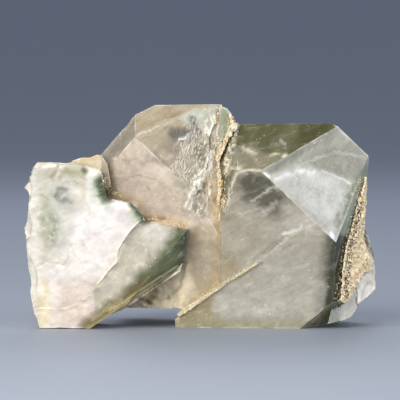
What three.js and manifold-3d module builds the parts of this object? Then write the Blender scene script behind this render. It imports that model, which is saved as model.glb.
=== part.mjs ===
// A hand-sized cluster of quartz crystals grown together, with tan crust in its seams.
// Millimetres, +Z up. X runs to the right along the cluster, Y runs away from its front.
import * as THREE from 'three';
import { mergeVertices } from 'three/addons/utils/BufferGeometryUtils.js';
import Module from 'manifold-3d';

const wasm = await Module();
wasm.setup();

// Driving dimensions
const rhombTilt = 51.79; // degrees between the c axis of quartz and the normal of a rhombohedral face
const crustGap = 0.3; // clearance between the crust and the crystals
const footCrustProud = 1.1; // how far the crust at the foot stands in front of the big crystal's face
const slabFall = 0.0524; // how far a slab drops for each millimetre that it runs back
const frontDepth = -12; // the Y at which an outline has its own height
const cutterSize = 260; // edge of the block that trims a solid to a plane

// Each crystal is a set of flat faces, each at a distance from the crystal's heart.
// m faces are the prism, u and l faces the upper and lower rhombohedron, numbered round the c axis.
const big = {
  heart: [13, 8, 24],
  axis: [0.7, -0.354, 0.62],
  firstPrism: [-0.114, -0.913, -0.393],
  faces: { m0: 18.8, m1: 28.8, m3: 14.2, u0: 28, u1: 28.2, u3: 19.9, u5: 31.2 },
  top: [[-0.01, 0.07, 1], 26.4],
  tail: [[-0.985, 0.17, 0], 17.6],
  brokenSide: [[0.968, 0.25, 0], 23.8],
};
const middle = {
  heart: [-12, 8, 30],
  axis: [0.555, -0.507, 0.66],
  firstPrism: [-0.403, -0.858, -0.32],
  faces: { m0: 10.9, m3: 17, m4: 14.1, m5: 17.8, u0: 20, u4: 25.2, l5: 12.1 },
  crown: [[-0.283, -0.609, 0.741], 25.6],
  underside: [[0.03, 0.03, -0.995], 25.4],
  lowerLeft: [[-0.75, 0, -0.66], 22.5],
  seam: [[1, 0, 0], 17.2],
};

// The face of the crust on the big crystal's broken right side: its normal and a point on it
const rightSheet = [[0.78, -0.58, -0.2], [37.2, -9, 20]];

function vector(xyz) {
  return new THREE.Vector3(...xyz);
}

function toSolid(geometry) {
  const bare = geometry.index ? geometry.toNonIndexed() : geometry.clone();
  bare.deleteAttribute('normal');
  bare.deleteAttribute('uv');
  const merged = mergeVertices(bare, 1e-4);
  const vertProperties = Float32Array.from(merged.attributes.position.array);
  const triVerts = Uint32Array.from(merged.index.array);
  return new wasm.Manifold(new wasm.Mesh({ numProp: 3, vertProperties, triVerts }));
}

function toNode(name, solid, colour, roughness) {
  const mesh = solid.getMesh();
  const geometry = new THREE.BufferGeometry();
  geometry.setAttribute('position', new THREE.BufferAttribute(Float32Array.from(mesh.vertProperties), 3));
  geometry.setIndex(Array.from(mesh.triVerts));
  const material = new THREE.MeshStandardMaterial({ color: colour, roughness, metalness: 0 });
  const node = new THREE.Mesh(geometry, material);
  node.name = name;
  return node;
}

// Everything beyond a plane is cut away
function trim(solid, normal, point) {
  const outward = vector(normal).normalize();
  const block = new THREE.BoxGeometry(cutterSize, cutterSize, cutterSize);
  block.translate(0, 0, cutterSize / 2);
  block.applyQuaternion(new THREE.Quaternion().setFromUnitVectors(new THREE.Vector3(0, 0, 1), outward));
  block.translate(point.x, point.y, point.z);
  return solid.subtract(toSolid(block));
}

function trimAt(solid, heart, [normal, distance]) {
  const point = vector(normal).normalize().multiplyScalar(distance).add(vector(heart));
  return trim(solid, normal, point);
}

// A plane through three points, facing the front of the cluster
function trimThrough(solid, a, b, c) {
  const normal = vector(b).sub(vector(a)).cross(vector(c).sub(vector(a))).normalize();
  if (normal.y > 0) normal.negate();
  return trim(solid, normal.toArray(), vector(a));
}

// The direction of a quartz face: kind is its letter, and the number counts sixths of a turn
function faceNormal(crystal, face) {
  const axis = vector(crystal.axis).normalize();
  const first = vector(crystal.firstPrism);
  first.addScaledVector(axis, -first.dot(axis)).normalize();
  const second = axis.clone().cross(first);
  const turn = THREE.MathUtils.degToRad(60 * Number(face.slice(1)));
  const prism = first.multiplyScalar(Math.cos(turn)).addScaledVector(second, Math.sin(turn));
  if (face[0] === 'm') return prism.toArray();
  const tilt = THREE.MathUtils.degToRad(rhombTilt);
  const along = face[0] === 'u' ? Math.cos(tilt) : -Math.cos(tilt);
  return prism.multiplyScalar(Math.sin(tilt)).addScaledVector(axis, along).toArray();
}

function quartz(crystal) {
  const block = new THREE.BoxGeometry(cutterSize / 2, cutterSize / 2, cutterSize / 2);
  block.translate(...crystal.heart);
  let solid = toSolid(block);
  for (const [face, distance] of Object.entries(crystal.faces)) {
    solid = trimAt(solid, crystal.heart, [faceNormal(crystal, face), distance]);
  }
  return solid;
}

// An outline in X and Z, run from the front back to the rear and falling a little on the way
function slab(outline, front, rear) {
  const shape = new THREE.Shape(outline.map(([x, z]) => new THREE.Vector2(x, z)));
  const geometry = new THREE.ExtrudeGeometry(shape, { depth: rear - front, bevelEnabled: false });
  geometry.rotateX(Math.PI / 2);
  geometry.translate(0, rear, 0);
  const lean = new THREE.Matrix4().makeShear(0, 0, 0, -slabFall, 0, 0);
  geometry.translate(0, -frontDepth, 0).applyMatrix4(lean).translate(0, frontDepth, 0);
  return toSolid(geometry);
}

// The big crystal on the right: its upper part ends at a rough wall along the seam on its left,
// and its lower part is a parallel crystal that stands a little proud and runs on under the seam.
function bigCrystal() {
  let whole = quartz(big);
  for (const cut of [big.top, big.tail, big.brokenSide]) whole = trimAt(whole, big.heart, cut);
  const wallEdges = [
    [[9.3, -19.4, 38.3], [6.1, -15.4, 29.9], [5, -11, 34.6]],
    [[12.5, -20, 40.4], [9, -19.5, 38.7], [6.5, -14.2, 45]],
    [[8.8, -9.2, 50.7], [7, -13.8, 44.9], [7, -3.6, 47.4]],
    [[4.6, -12.7, 26.6], [4.6, -5.5, 9.9], [2.6, -2, 18]],
  ];
  let upper = whole;
  for (const [a, b, c] of wallEdges) upper = trimThrough(upper, a, b, c);
  const lowerTop = [[-0.564, 0.043, 0.825], -7.4];
  let lower = quartz({ ...big, faces: { ...big.faces, m0: 20.5 } });
  for (const cut of [lowerTop, big.top, big.tail, big.brokenSide]) lower = trimAt(lower, big.heart, cut);
  lower = trimThrough(lower, [15.2, -10, 17.2], [35.5, -8, 6.8], [-5.2, -2.2, 2.7]);
  return upper.add(lower);
}

// The middle crystal: a domed top of flat faces, and a rough strip along the seam on its right
function middleCrystal() {
  let solid = quartz(middle);
  solid = trimAt(solid, middle.heart, middle.crown);
  solid = trimAt(solid, middle.heart, middle.underside);
  solid = trimAt(solid, middle.heart, middle.seam);
  solid = trimAt(solid, middle.heart, middle.lowerLeft);
  return trim(solid, [0.344, -0.934, 0.057], new THREE.Vector3(3, -9, 48.2));
}

// The white crystal on the left: a thick plate with a ragged broken edge, leaning forward
function whiteCrystal() {
  const outline = [
    [-40.8, 42.3], [-32.8, 42.1], [-29.2, 41.6], [-25.2, 40.6], [-24.5, 39.1], [-24, 35.8],
    [-23.5, 33.3], [-20.2, 32.8], [-17.8, 32.3], [-15.8, 30.8], [-14.5, 29], [-14, 27.5], [-9, 27.1],
    [-3.2, 25.6], [-3.8, 21.5], [-4.2, 17.2], [-5.2, 15.5], [-10.2, 12.4], [-16, 8.3], [-22.8, 4],
    [-28.5, 0], [-40.8, 0], [-41.2, 2.4], [-42, 4.1], [-42.5, 6.1], [-43, 9.9], [-42.8, 12.4],
    [-43.5, 15.5], [-43.8, 18.8], [-44, 22.5], [-44.5, 25.6], [-43.5, 28.1], [-43.2, 32.6],
    [-43.5, 34.7], [-44.5, 35.9], [-43.2, 37.7], [-42, 41],
  ];
  const upperPlate = [
    [-40.8, 42.3], [-32.8, 42.1], [-29.2, 41.6], [-25.2, 40.6], [-24.5, 39.1], [-24, 35.8],
    [-23.5, 33.3], [-20.2, 32.8], [-17.8, 32.3], [-15.8, 30.8], [-14.5, 29], [-14, 27.5],
    [-15.2, 27.3], [-18.2, 24], [-20.5, 20.2], [-20.8, 17.1], [-23.2, 14.6], [-25.8, 11.3],
    [-29, 7.5], [-34, 5], [-42.2, 5], [-42.5, 6.1], [-43, 9.9], [-42.8, 12.4],
    [-43.5, 15.5], [-43.8, 18.8], [-44, 22.5], [-44.5, 25.6], [-43.5, 28.1], [-43.2, 32.6],
    [-43.5, 34.7], [-44.5, 35.9], [-43.2, 37.7], [-42, 41],
  ];
  const underPlate = [
    [-14, 24], [-4.6, 22], [-4.6, 17], [-5.2, 14.9], [-10.5, 11.4], [-16, 7.4], [-19.5, 5.2], [-24, 3.4],
    [-28, 1], [-32, 6],
  ];
  const heart = [-26, 0, 20];
  const front = [-0.116, -0.98, -0.162];
  const bevel = [[0.377, -0.776, -0.505], 15.6];
  const back = [[-0.28, 0.95, 0.12], 11];
  const plateProud = 0.88;
  const plateFront = [front[0], front[1], front[2] - 0.055];
  const underPlateDepth = 3.4;
  let body = trimAt(slab(outline, -22, 24), heart, [front, 8.9]);
  body = trimAt(body, heart, bevel);
  const plate = trimAt(slab(upperPlate, -24, 0), heart, [plateFront, 8.9 + plateProud]);
  const under = trimAt(slab(underPlate, -22, 10), heart, [front, 8.9 - underPlateDepth]);
  return trimAt(body.add(plate).add(under), heart, back);
}

// The grey-green sliver standing in the seam at the top
function sliverCrystal() {
  const outline = [
    [4.2, 55.7], [5.2, 56.2], [6.5, 55.7], [7.5, 54.5], [7.8, 53.2], [7, 50.7], [6.2, 48.2],
    [5, 47.5], [4.2, 49], [4, 52.7],
  ];
  const solid = trim(slab(outline, -16, 10), [0.25, -0.95, 0.2], new THREE.Vector3(6, -10.5, 52));
  return trim(solid, [0, 0.6, 0.8], new THREE.Vector3(6, 0, 55));
}

// The pale crystal behind the lower right, seen past the crust
function rearCrystal() {
  const outline = [
    [34, 20], [36, 34], [39.5, 30], [41.2, 26.6], [42.5, 23.3], [43.8, 19.1], [44, 16.6], [44.2, 12.6],
    [44.2, 10.1], [42.5, 8.4], [39.8, 6.4], [37.8, 3.4], [36, 2.6], [31.8, 1.6], [33, 6],
  ];
  let solid = slab(outline, -6, 22);
  solid = trim(solid, [0.35, -0.9, 0.25], new THREE.Vector3(38, 0.3, 8));
  return trim(solid, [0.75, -0.2, 0.62], new THREE.Vector3(42.6, 2, 22));
}

// The low saddle of broken quartz behind the white crystal's top edge
function saddle() {
  const outline = [
    [-35.2, 39], [-35.2, 41.6], [-31.5, 42.9], [-30, 43.4], [-27.8, 43.4], [-26.2, 44.1],
    [-25, 44.1], [-23.4, 41.6], [-22.5, 36], [-30, 34],
  ];
  return slab(outline, -5, 9);
}

function cluster() {
  const solid = bigCrystal()
    .add(middleCrystal())
    .add(whiteCrystal())
    .add(sliverCrystal())
    .add(rearCrystal())
    .add(saddle());
  return trim(solid, [0, 0, -1], new THREE.Vector3(0, 0, 0));
}

// An angular chip: where its middle is, the way its face looks, the way it runs,
// its length and width, and its depth
function chip(solid, [place, normal, run, long, wide, depth]) {
  const outward = vector(normal).normalize();
  const along = vector(run);
  along.addScaledVector(outward, -along.dot(outward)).normalize();
  const across = outward.clone().cross(along);
  const bowl = depth * 4;
  const spread = Math.sqrt(1 - ((bowl - depth) / bowl) ** 2);
  const ball = new THREE.IcosahedronGeometry(1, 1);
  ball.rotateX(place[0]).rotateY(place[2]);
  ball.scale(long / 2 / spread, wide / 2 / spread, bowl);
  ball.applyMatrix4(new THREE.Matrix4().makeBasis(along, across, outward));
  const seat = outward.multiplyScalar(bowl - depth).add(vector(place));
  ball.translate(seat.x, seat.y, seat.z);
  return solid.subtract(toSolid(ball));
}

// Chips and broken patches: first those of the rough seams, then bruised edges, then the broken back
function chipped(solid) {
  const ridges = [0.27, -0.07, 0.96];
  const chips = [
    [[0, -9.9, 43], [0.3, -0.93, 0.1], ridges, 10, 3.4, 0.4],
    [[-2.6, -11, 37.5], [0.05, -0.98, 0.15], ridges, 11, 2.8, 0.35],
    [[1.4, -10.4, 35], [0.35, -0.93, 0.05], ridges, 9, 2.6, 0.35],
    [[-1.3, -9.6, 30.5], [0.1, -0.97, -0.1], ridges, 7, 2.4, 0.3],
    [[3, -8.6, 47.5], [0.3, -0.93, 0.15], ridges, 6, 2, 0.3],
    [[7.4, -13.4, 42.5], [-0.6, -0.65, 0.45], [0.3, 0, 1], 6.5, 3.6, 0.6],
    [[6.6, -14.6, 36.2], [-0.88, -0.45, 0.1], [0.35, 0, 1], 7, 4, 0.6],
    [[5.4, -13, 30.6], [-0.88, -0.45, 0], [0.2, 0, 1], 5, 3, 0.4],
    [[-43.6, -9, 26], [-0.8, -0.6, 0], [0.05, 0, 1], 9, 4, 0.8],
    [[-43, -8, 35.5], [-0.75, -0.65, 0.1], [0.3, 0, 1], 7, 4, 0.8],
    [[-42.4, -5, 12], [-0.8, -0.58, 0], [-0.1, 0, 1], 12, 4.4, 0.8],
    [[-36, -11, 42.2], [-0.1, -0.6, 0.8], [1, 0, 0], 9, 2.6, 0.5],
    [[-12.4, 4, 6.6], [-0.35, -0.82, -0.45], [1, 0, 0.3], 9, 4.4, 0.5],
    [[-19.4, -1, 49.6], [-0.8, -0.4, 0.45], [0.6, 0, 0.8], 6, 2.4, 0.3],
    [[41.8, 2, 9], [0.6, -0.78, 0.1], [0.5, 0, 0.9], 7, 4, 0.7],
    [[20, 26.5, 30], [0.25, 0.88, 0.4], [1, 0, 0.4], 20, 12, 1.6],
    [[0, 32, 14], [-0.1, 0.92, 0.38], [1, 0, -0.3], 19, 12, 1.6],
    [[-14, 22, 34], [0.35, 0.87, 0.34], [0.5, 0, 0.9], 18, 11, 1.5],
    [[-36, 9, 24], [-0.3, 0.94, 0.12], [0.2, 0, 1], 18, 9, 1.2],
    [[31, 26, 14], [0.35, 0.87, 0.34], [0.3, 0, 1], 14, 9, 1.2],
  ];
  return chips.reduce(chip, solid);
}

// The cluster swollen by the gap, which the crust is cut with
function swollen(solid, gap) {
  const steps = [-1, 0, 1];
  let grown = solid;
  for (const x of steps) {
    for (const y of steps) {
      for (const z of steps) {
        const step = new THREE.Vector3(x, y, z);
        if (step.length() === 0) continue;
        step.setLength(gap);
        grown = grown.add(solid.translate(step.toArray()));
      }
    }
  }
  return grown;
}

// Angular grains standing half out of the crust's sheet, evenly spread by two golden steps
function grains(count) {
  const [normal, [x, y, z]] = rightSheet;
  let heap = null;
  for (let index = 0; index < count; index += 1) {
    const across = (index * 0.7549 + 0.3) % 1;
    const up = (index * 0.5698 + 0.1) % 1;
    const grainX = 34.6 + 6.2 * up + 7.5 * across * (1.1 - up);
    const grainZ = 6.5 + 31.5 * up;
    const grainY = y - (normal[0] * (grainX - x) + normal[2] * (grainZ - z)) / normal[1];
    const radius = 0.45 + 0.6 * ((index * 0.3819) % 1);
    const grain = new THREE.IcosahedronGeometry(radius, 0);
    grain.rotateZ(index).rotateX(index * 2).translate(grainX, grainY, grainZ);
    heap = heap ? heap.add(toSolid(grain)) : toSolid(grain);
  }
  return heap;
}

// Crust on the broken right side of the big crystal
function rightCrust() {
  const outline = [
    [41.2, 38.6], [41.5, 36.1], [41.2, 32.3], [41.2, 26.1], [40.9, 23.6], [41.6, 21.1], [42.6, 18.9],
    [43.5, 16.9], [43.2, 14.9], [41, 14.4], [38.5, 9.9], [37.8, 8.6], [36.5, 6.6], [35, 7.4],
    [35.5, 14.9], [36, 18.6], [36.8, 22.4], [37.8, 25.4], [38.5, 28.6], [39.2, 31.1], [40.2, 34.8],
  ];
  const [normal, place] = rightSheet;
  const low = trim(slab(outline, -14, 5), [0.2, 0, 1], new THREE.Vector3(40, 0, 23));
  const sheet = trim(slab(outline, -14, -2).add(low), normal, vector(place));
  return sheet.add(grains(150).intersect(slab(outline, -18, 5)));
}

// A ribbon of crust in the seam between the sliver, the middle crystal and the big one
function seamCrust() {
  const outline = [
    [7.5, 53.7], [8.8, 51.7], [9, 51], [7.8, 49.5], [6.8, 47.7], [5.8, 45.2], [4.8, 43.2], [4.7, 41.2],
    [5.5, 37.7], [5.9, 34], [5.3, 31], [4.3, 31.2], [4.4, 35.2], [4, 39.7], [3.6, 43.2], [4.6, 46.6],
    [5.8, 48], [7, 50.7],
  ];
  return slab(outline, -12.5, -3);
}

// A ribbon of crust along the top edge of the big crystal's lower part
function footCrust() {
  const outline = [
    [-5.8, 4.5], [-5, 5.3], [-2.8, 6.6], [0.8, 8.5], [3.5, 10.8], [6.2, 12.9], [9, 14.1], [12.3, 15.8],
    [15.3, 17.5], [15.3, 17], [12.3, 15.1], [9.6, 13.3], [6.8, 11.9], [4.3, 10.2], [1, 7.7],
    [-2.3, 5.2], [-4.3, 3.4], [-5.3, 2.7], [-5.8, 3.2],
  ];
  return trimAt(slab(outline, -16, 2), big.heart, [faceNormal(big, 'm0'), big.faces.m0 + footCrustProud]);
}

const quartzSolid = cluster();
const clearance = swollen(quartzSolid, crustGap);

const specimen = new THREE.Group();
specimen.add(toNode('quartz_cluster', chipped(quartzSolid), 0xc9c3b2, 0.15));
specimen.add(toNode('crust_right', rightCrust().subtract(clearance), 0xd9be92, 0.9));
specimen.add(toNode('crust_seam', seamCrust().subtract(clearance), 0xd9be92, 0.9));
specimen.add(toNode('crust_foot', footCrust().subtract(clearance), 0xd9be92, 0.9));

// The origin is the middle of the cluster's box, on the surface that it rests on
const box = new THREE.Box3().setFromObject(specimen);
const middleOfBox = box.getCenter(new THREE.Vector3());
specimen.position.set(-middleOfBox.x, -middleOfBox.y, -box.min.z);

export default specimen;
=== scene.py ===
import math

import bmesh
import bpy
import numpy as np
from mathutils import Matrix, Vector, noise
from mathutils.bvhtree import BVHTree


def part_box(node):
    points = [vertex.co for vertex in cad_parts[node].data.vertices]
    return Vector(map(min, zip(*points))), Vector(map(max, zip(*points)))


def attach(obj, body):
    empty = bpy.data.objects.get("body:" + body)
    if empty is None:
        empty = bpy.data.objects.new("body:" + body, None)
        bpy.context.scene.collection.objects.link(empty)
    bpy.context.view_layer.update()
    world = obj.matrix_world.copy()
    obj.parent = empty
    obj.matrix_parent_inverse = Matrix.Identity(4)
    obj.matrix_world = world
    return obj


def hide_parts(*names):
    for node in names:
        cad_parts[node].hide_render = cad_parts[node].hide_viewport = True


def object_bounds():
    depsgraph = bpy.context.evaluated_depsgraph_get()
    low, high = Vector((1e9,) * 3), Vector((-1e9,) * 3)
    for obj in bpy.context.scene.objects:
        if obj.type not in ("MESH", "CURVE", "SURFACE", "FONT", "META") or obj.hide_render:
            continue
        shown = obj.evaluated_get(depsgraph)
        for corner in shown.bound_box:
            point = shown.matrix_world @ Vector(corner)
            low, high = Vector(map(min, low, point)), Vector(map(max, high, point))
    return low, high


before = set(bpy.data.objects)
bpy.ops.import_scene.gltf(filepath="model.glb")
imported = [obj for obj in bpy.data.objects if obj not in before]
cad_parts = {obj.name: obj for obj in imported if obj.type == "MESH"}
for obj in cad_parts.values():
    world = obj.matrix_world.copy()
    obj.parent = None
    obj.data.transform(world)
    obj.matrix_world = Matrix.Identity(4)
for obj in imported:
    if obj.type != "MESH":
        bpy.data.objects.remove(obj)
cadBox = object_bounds()
mm = 0.001
viewTilt = math.radians(3)  # the photograph looks down on the cluster by this much


def linear(hexColour):
    # sRGB hex to the linear values that the renderer works in
    channels = [int(hexColour[i:i + 2], 16) / 255 for i in (1, 3, 5)]
    return tuple(c / 12.92 if c <= 0.04045 else ((c + 0.055) / 1.055) ** 2.4 for c in channels)


def addNode(tree, kind, place, settings=None, links=None):
    node = tree.nodes.new(kind)
    node.location = (place[0] * 220, place[1] * -180)
    for name, value in (settings or {}).items():
        if hasattr(node, name):
            setattr(node, name, value)
        else:
            node.inputs[int(name) if name.isdigit() else name].default_value = value
    for name, source in (links or {}).items():
        tree.links.new(source, node.inputs[int(name) if name.isdigit() else name])
    return node


def newMaterial(name):
    material = bpy.data.materials.new(name)
    material.use_nodes = True
    material.node_tree.nodes.clear()
    return material, material.node_tree


# Camera
cameraPlan = {
    "lookAt": (-0.10, -20.82, 32.69),  # mm, at the middle of the picture
    "distance": 1600,  # mm
    "frameWidth": 100,  # mm across the picture at lookAt
    "sensor": 36,  # mm
    "clip": (0.05, 60),  # m
}


def makeCamera(plan):
    data = bpy.data.cameras.new("camera")
    data.sensor_width = plan["sensor"]
    data.lens = plan["sensor"] * plan["distance"] / plan["frameWidth"]
    data.clip_start, data.clip_end = plan["clip"]
    camera = bpy.data.objects.new("camera", data)
    bpy.context.scene.collection.objects.link(camera)
    back = Vector((0, -math.cos(viewTilt), math.sin(viewTilt)))
    camera.location = (Vector(plan["lookAt"]) + back * plan["distance"]) * mm
    camera.rotation_euler = (-back).to_track_quat("-Z", "Y").to_euler()
    bpy.context.scene.camera = camera


makeCamera(cameraPlan)


# Stage
stagePlan = {
    "floorSize": 24,  # m
    "floorDrop": 0.02,  # mm, so that the cluster's base doesn't flicker
    "floorColour": "#8E95A1",
    "floorRoughness": 0.55,
    "skyColour": "#717784",
    "skyStrength": 1.6,
}


def makeStage(plan):
    half = plan["floorSize"] / 2
    mesh = bpy.data.meshes.new("floor")
    corners = [(-half, -half, 0), (half, -half, 0), (half, half, 0), (-half, half, 0)]
    mesh.from_pydata(corners, [], [(0, 1, 2, 3)])
    floor = bpy.data.objects.new("floor", mesh)
    floor.location.z = -plan["floorDrop"] * mm
    bpy.context.scene.collection.objects.link(floor)
    # Satin acrylic sheet: even grey, with a broad soft sheen and no mirror image
    material, tree = newMaterial("satinAcrylicSheet")
    surface = addNode(tree, "ShaderNodeBsdfPrincipled", (0, 0), {
        "Base Color": (*linear(plan["floorColour"]), 1), "Roughness": plan["floorRoughness"]})
    addNode(tree, "ShaderNodeOutputMaterial", (1, 0), links={"Surface": surface.outputs[0]})
    mesh.materials.append(material)
    world = bpy.data.worlds.new("studio")
    bpy.context.scene.world = world
    world.use_nodes = True
    world.node_tree.nodes.clear()
    sky = addNode(world.node_tree, "ShaderNodeBackground", (0, 0), {
        "Color": (*linear(plan["skyColour"]), 1), "Strength": plan["skyStrength"]})
    addNode(world.node_tree, "ShaderNodeOutputWorld", (1, 0), links={"Surface": sky.outputs[0]})


makeStage(stagePlan)

# Two soft cards and a weak lamp behind: places and sizes in mm, power in watts
lampAim = (0, 0, 25)  # mm
lamps = {
    "frontLeft": {"place": (-330, -640, 330), "size": (700, 640), "power": 9.7, "colour": "#FFFCF6"},
    "rightCard": {"place": (620, -420, 260), "size": (320, 420), "power": 2.6, "colour": "#F6FAFF"},
    "behind": {"place": (-120, 520, 480), "size": (700, 460), "power": 1.5, "colour": "#FAFBFF"},
}


def makeLamps(plans):
    target = Vector(lampAim) * mm
    for name, plan in plans.items():
        data = bpy.data.lights.new(name, "AREA")
        data.shape = "RECTANGLE"
        data.size, data.size_y = plan["size"][0] * mm, plan["size"][1] * mm
        data.energy = plan["power"]
        data.color = linear(plan["colour"])
        lamp = bpy.data.objects.new(name, data)
        bpy.context.scene.collection.objects.link(lamp)
        lamp.location = Vector(plan["place"]) * mm
        lamp.rotation_euler = (target - lamp.location).to_track_quat("-Z", "Y").to_euler()
        lamp.visible_camera = False


makeLamps(lamps)
bpy.context.scene.view_settings.view_transform = "Standard"
print("stage, lamps and camera are set")


# Quartz
quartzPlan = {
    "fineStep": 0.42,  # mm between the cuts on what faces the front
    "coarseStep": 1.2,  # mm between the cuts elsewhere
    "frontTurn": -0.12,  # a face whose normal points less far back than this is cut finely
    "sideTurn": 0.8,  # a face whose normal runs more along the depth than this needs no cuts across it
    "flatAngle": 0.2,  # degrees, below which neighbouring faces are one
    "sharpAngle": 24,  # degrees, above which an edge stays sharp
    "wear": 0.55,  # how pale the sharp edges are, where they are rubbed
    "wearPatch": 3,  # mm between rubbed and fresh stretches of an edge
    "wearColour": "#E9E3D2",
    "warpSizes": (1.6, 5),  # mm across the small and large waves in the edges of marks
    "patchSize": 1.1,  # mm across the gaps in patchy marks
}
weldReach = 1e-7  # m, below which two corners are one

# Planes that tell the grown-together crystals apart, each a normal and a point in mm
growthPlanes = {
    "whiteBack": ((-0.28, 0.95, 0.12), (-28.9, -0.07, 21.3)),
    "lowerTop": ((-0.564, 0.043, 0.825), (17.33, -2.84, 17.9)),
    "brokenSide": ((0.968, 0.25, 0), (36.2, 3.43, 24)),
}
growthPlaces = {  # mm
    "seam": 5.3,  # across, where the big crystal starts
    "arch": -5.2,  # across, where its lower part starts
    "lowerTop": 19,  # up, where its lower part ends
    "rear": 30,  # across, where the rear crystal starts
}

# The white crystal's outline, across and up in mm as seen from the front
whiteOutline = [
    (-46, 41), (-32.6, 41), (-25, 39.5), (-24.3, 38), (-23.3, 32.1), (-17.6, 31.1), (-14.3, 27.9),
    (-13.9, 26.4), (-8.8, 26), (-3, 24.6), (-3.6, 16.4), (-5, 14.2), (-10, 10.6), (-16, 6.9),
    (-22.6, 2.8), (-28.3, -1.2), (-46, -2),
]

# The normals of the flat faces that have a look of their own
faceNormals = {
    "whiteFront": (-0.116, -0.98, -0.162),
    "whiteBevel": (0.377, -0.776, -0.505),
    "middleFront": (-0.40, -0.86, -0.32),
    "middleUpper": (0.03, -0.99, 0.16),
    "middleCrown": (-0.28, -0.61, 0.74),
    "middleLeft": (-0.83, -0.35, 0.43),
    "middleStrip": (0.344, -0.934, 0.057),
    "bigFront": (-0.11, -0.91, -0.39),
    "bigLight": (0.34, -0.94, 0.08),
    "bigTop": (-0.09, -0.72, 0.69),
    "bigRight": (0.87, -0.44, -0.23),
    "bigBack": (0.11, 0.91, 0.39),
    "middleBack": (0.40, 0.86, 0.32),
    "whiteBack": (-0.28, 0.95, 0.12),
}
flatMatch = 0.985  # cosine of the angle by which a normal may differ from a flat face's own
skinDepth = 0.4  # mm below its surface where a place's crystal is looked up

# The way each crystal and flat face looks before its marks: colour, haze and roughness. Natural faces are
# smooth as glass, 0.08 to 0.16, and the white crystal's broken ones are satin.
looks = {
    "white": ("#D2CAC0", 0.92, 0.38),
    "whiteBevel": ("#6E7751", 0.7, 0.26),
    "middle": ("#BFB299", 0.56, 0.14),
    "middleFront": ("#EAD9C6", 0.61, 0.12),
    "middleUpper": ("#C1B39A", 0.52, 0.12),
    "middleCrown": ("#CDBCA0", 0.55, 0.16),
    "middleLeft": ("#C0B298", 0.5, 0.14),
    "middleStrip": ("#C6BAA3", 0.65, 0.22),
    "big": ("#ABA68E", 0.52, 0.12),
    "bigFront": ("#C6BEAB", 0.59, 0.1),
    # the light face is paler as painted sheen; the top face and the green side are darker as painted shade over
    # their own olive and green
    "bigLight": ("#D2CFC4", 0.54, 0.09),
    "bigTop": ("#737149", 0.42, 0.08),
    "bigRight": ("#2E3A24", 0.5, 0.12),
    "bigBack": ("#BDB9A2", 0.6, 0.13),
    "middleBack": ("#CFC2A8", 0.6, 0.13),
    "whiteBack": ("#DED7CC", 0.9, 0.34),
    "rear": ("#ECE3D7", 0.87, 0.25),
}

# Marks fade and wander as they run round to the sides, where nothing was seen of them
turning = {
    "start": -0.35,  # how far back a normal points where that starts
    "run": 0.4,  # and how much further back until it is complete
    "back": 0.2,  # how far back the normals point that the front's marks never reach
    "ragged": 2.5,  # mm that edges wander more there
    "fade": 0.5,  # the share that is gone there
}
patchLevel = 0.35  # raises the noise that breaks up patchy marks, so that more than half of each is left


def frontView(points):
    # Across and up, in mm, as the cluster is seen from its front
    return points[:, 0], points[:, 1] * math.sin(viewTilt) + points[:, 2] * math.cos(viewTilt)


# Marks are laid over the looks in turn. Places are (across, up) in mm as seen from the front, the width and
# the soft edge are in mm too, and amount is how much of the colour shows. A mark may also set how far its
# edge is ragged in mm, how patchy it is, its haze, its roughness and its flecks, and the flat face it is on.
def streak(path, wide, soft, colour, amount, ragged=0.4, **more):
    return {"path": path, "wide": wide, "soft": soft, "colour": colour, "amount": amount,
            "ragged": ragged, **more}


def patch(area, soft, colour, amount, ragged=0.4, **more):
    return {"area": area, "soft": soft, "colour": colour, "amount": amount, "ragged": ragged, **more}


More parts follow.
